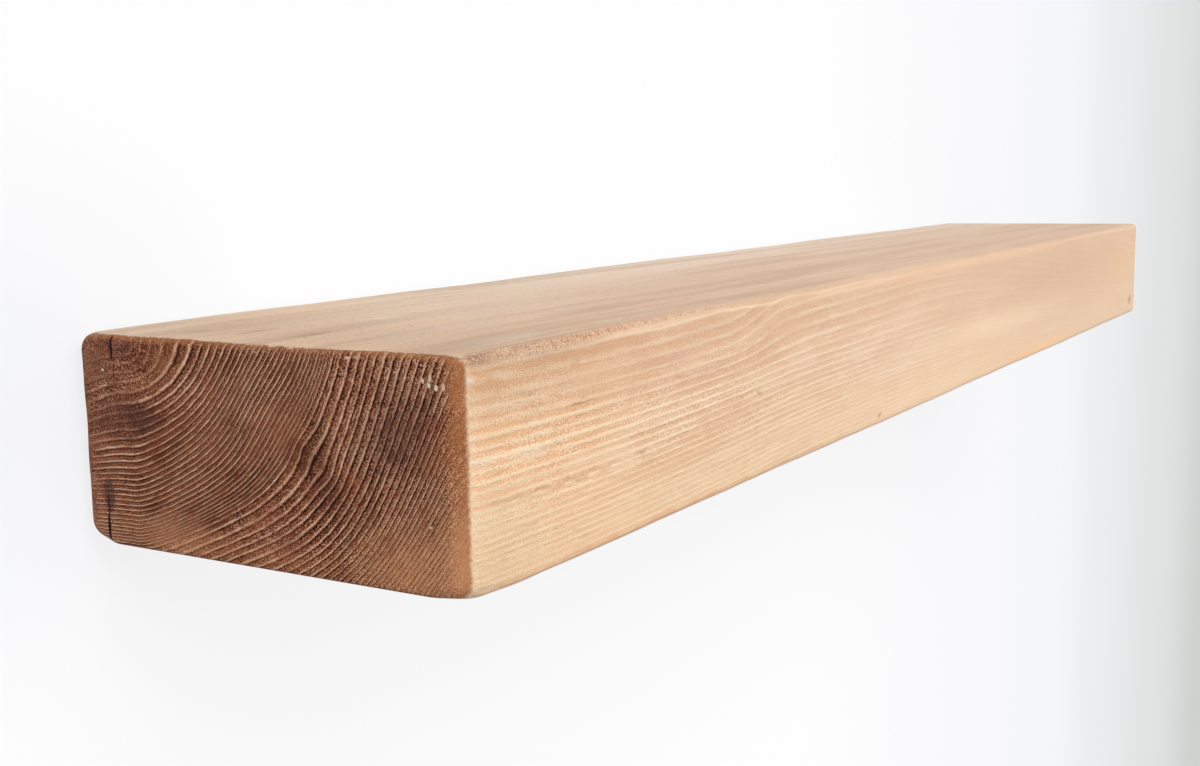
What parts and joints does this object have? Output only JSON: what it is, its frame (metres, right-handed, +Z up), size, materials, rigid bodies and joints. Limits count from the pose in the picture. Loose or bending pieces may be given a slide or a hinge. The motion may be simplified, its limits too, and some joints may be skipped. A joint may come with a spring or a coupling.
{
  "type": "floating wall shelf",
  "caption": "Solid timber floating shelf beam that slides on to a concealed steel rod bracket screwed to a wall.",
  "frame": {"origin": "on the wall plane, at the middle of the bracket bar's back face, at the beam's mid-height", "axes": "+X along the wall, +Y into the wall, +Z up"},
  "size_m": [0.9, 0.2124, 0.07],
  "materials": {
    "timber": "brushed pale timber with dark end grain, waxed",
    "bracket_steel": "black powder coat over welded mild steel",
    "zinc_plate": "bright zinc plate"
  },
  "bodies": {
    "bracket": {"back_bar": "bracket_steel", "support_rod_left": "bracket_steel", "support_rod_middle": "bracket_steel", "support_rod_right": "bracket_steel", "wall_screw_upper_1": "zinc_plate", "wall_screw_upper_2": "zinc_plate", "wall_screw_upper_3": "zinc_plate", "wall_screw_upper_4": "zinc_plate", "wall_screw_lower_1": "zinc_plate", "wall_screw_lower_2": "zinc_plate", "wall_screw_lower_3": "zinc_plate", "wall_screw_lower_4": "zinc_plate", "washer_upper_1": "zinc_plate", "washer_upper_2": "zinc_plate", "washer_upper_3": "zinc_plate", "washer_upper_4": "zinc_plate", "washer_lower_1": "zinc_plate", "washer_lower_2": "zinc_plate", "washer_lower_3": "zinc_plate", "washer_lower_4": "zinc_plate"},
    "beam": {"shelf_beam": "timber"}
  },
  "joints": [
    {"name": "beam_slide", "type": "slide", "parent": "bracket", "child": "beam", "axis": [0, -1, 0], "range_m": [0, 0.14]}
  ]
}
